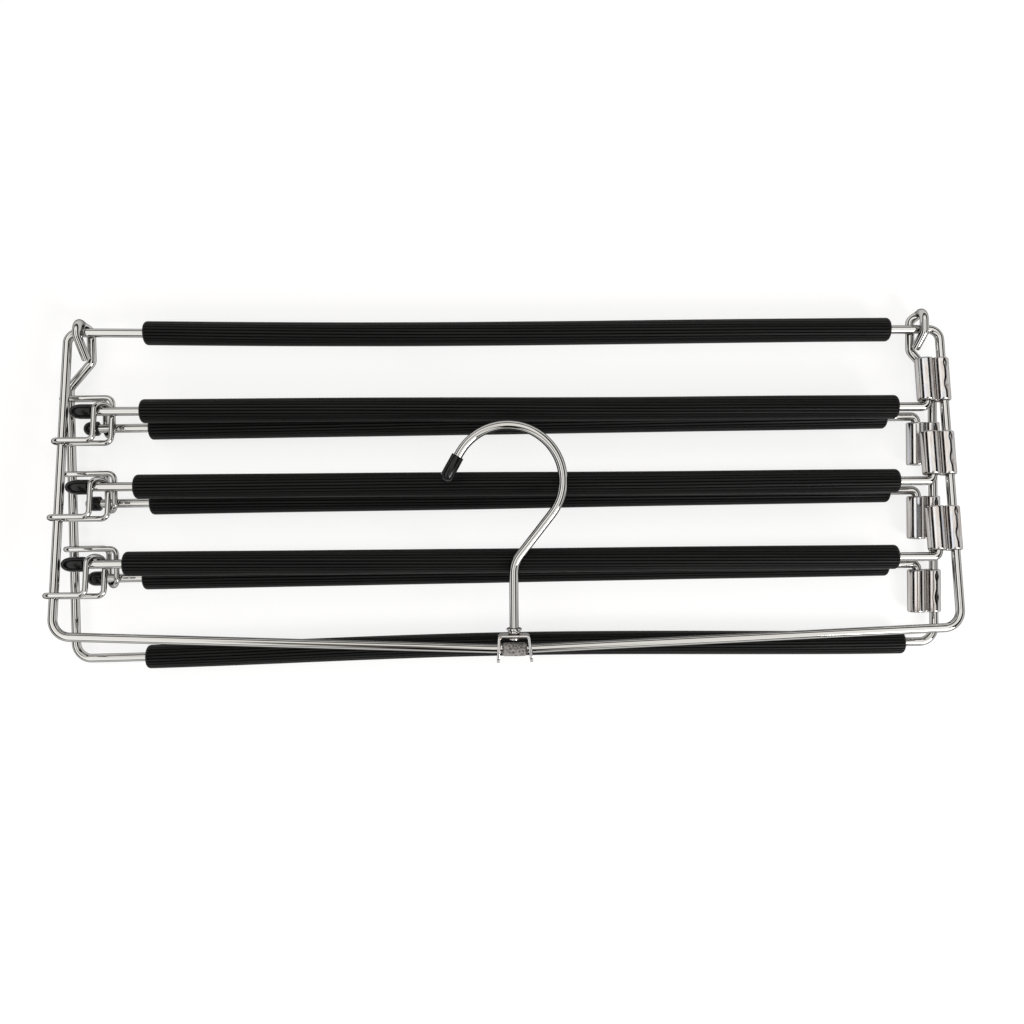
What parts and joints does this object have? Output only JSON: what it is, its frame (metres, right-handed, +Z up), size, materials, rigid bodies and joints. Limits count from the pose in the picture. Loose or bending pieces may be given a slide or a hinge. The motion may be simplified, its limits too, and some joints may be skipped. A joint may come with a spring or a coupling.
{
  "type": "trouser hanger",
  "caption": "Folding wire trouser hanger: two hinged chrome frames with foam-padded swing arms held in wire catches, and a swivel hook on a tilting saddle.",
  "frame": {"origin": "middle of the folded hanger's box, at the level of the surface it lies on", "axes": "+X along the bars towards the arms' pivots, +Y towards the hinge bar, +Z up from the surface"},
  "size_m": [0.409, 0.164, 0.0398],
  "materials": {
    "chrome_wire": "polished",
    "plated_sheet": "bright plated",
    "zinc_joint": "matte grey",
    "black_foam": "ribbed foam, matte",
    "black_rubber": "semi-matte"
  },
  "bodies": {
    "rear_frame": {"rear_frame_wire": "chrome_wire", "bottom_bar_foam": "black_foam", "rear_sleeve_1": "plated_sheet", "rear_sleeve_2": "plated_sheet", "rear_sleeve_3": "plated_sheet", "rear_catch_1": "chrome_wire", "rear_catch_2": "chrome_wire", "rear_catch_3": "chrome_wire"},
    "front_frame": {"front_frame_wire": "chrome_wire", "hinge_bar_foam": "black_foam", "wire_joint": "zinc_joint", "front_sleeve_1": "plated_sheet", "front_sleeve_2": "plated_sheet", "front_sleeve_3": "plated_sheet", "front_catch_1": "chrome_wire", "front_catch_2": "chrome_wire", "front_catch_3": "chrome_wire"},
    "saddle": {"hook_saddle": "plated_sheet"},
    "hook": {"swivel_hook": "chrome_wire", "hook_tip": "black_rubber"},
    "front_swing_arm_1": {"front_arm_1": "chrome_wire", "front_foam_1": "black_foam", "front_tip_1": "black_rubber"},
    "front_swing_arm_2": {"front_arm_2": "chrome_wire", "front_foam_2": "black_foam", "front_tip_2": "black_rubber"},
    "front_swing_arm_3": {"front_arm_3": "chrome_wire", "front_foam_3": "black_foam", "front_tip_3": "black_rubber"},
    "rear_swing_arm_1": {"rear_arm_1": "chrome_wire", "rear_foam_1": "black_foam", "rear_tip_1": "black_rubber"},
    "rear_swing_arm_2": {"rear_arm_2": "chrome_wire", "rear_foam_2": "black_foam", "rear_tip_2": "black_rubber"},
    "rear_swing_arm_3": {"rear_arm_3": "chrome_wire", "rear_foam_3": "black_foam", "rear_tip_3": "black_rubber"}
  },
  "joints": [
    {"name": "fold", "type": "hinge", "parent": "rear_frame", "child": "front_frame", "pos_m": [0.0014, 0.07244, 0.0097], "axis": [-1, 0, 0], "range_deg": [0, 170]},
    {"name": "hook_tilt", "type": "hinge", "parent": "front_frame", "child": "saddle", "pos_m": [0.0027, -0.06997, 0.03477], "axis": [1, 0, 0], "range_deg": [0, 168.5]},
    {"name": "hook_swivel", "type": "hinge", "parent": "saddle", "child": "hook", "pos_m": [0.0027, -0.06997, 0.03477], "axis": [0, 0.9997, 0.0255], "range_deg": [-10, 10]},
    {"name": "front_swing_1", "type": "hinge", "parent": "front_frame", "child": "front_swing_arm_1", "pos_m": [0.1935, 0.03619, 0.01608], "axis": [0, 0.9849, -0.1733], "range_deg": [0, 140]},
    {"name": "front_swing_2", "type": "hinge", "parent": "front_frame", "child": "front_swing_arm_2", "pos_m": [0.1935, 0.00222, 0.02206], "axis": [0, 0.9849, -0.1733], "range_deg": [0, 140]},
    {"name": "front_swing_3", "type": "hinge", "parent": "front_frame", "child": "front_swing_arm_3", "pos_m": [0.1935, -0.03176, 0.02804], "axis": [0, 0.9849, -0.1733], "range_deg": [0, 140]},
    {"name": "rear_swing_1", "type": "hinge", "parent": "rear_frame", "child": "rear_swing_arm_1", "pos_m": [0.19236, 0.03245, 0.0055], "axis": [0.0089, -1, 0], "range_deg": [0, 140]},
    {"name": "rear_swing_2", "type": "hinge", "parent": "rear_frame", "child": "rear_swing_arm_2", "pos_m": [0.19267, -0.00205, 0.0055], "axis": [0.0089, -1, 0], "range_deg": [0, 140]},
    {"name": "rear_swing_3", "type": "hinge", "parent": "rear_frame", "child": "rear_swing_arm_3", "pos_m": [0.19297, -0.03655, 0.0055], "axis": [0.0089, -1, 0], "range_deg": [0, 140]}
  ]
}
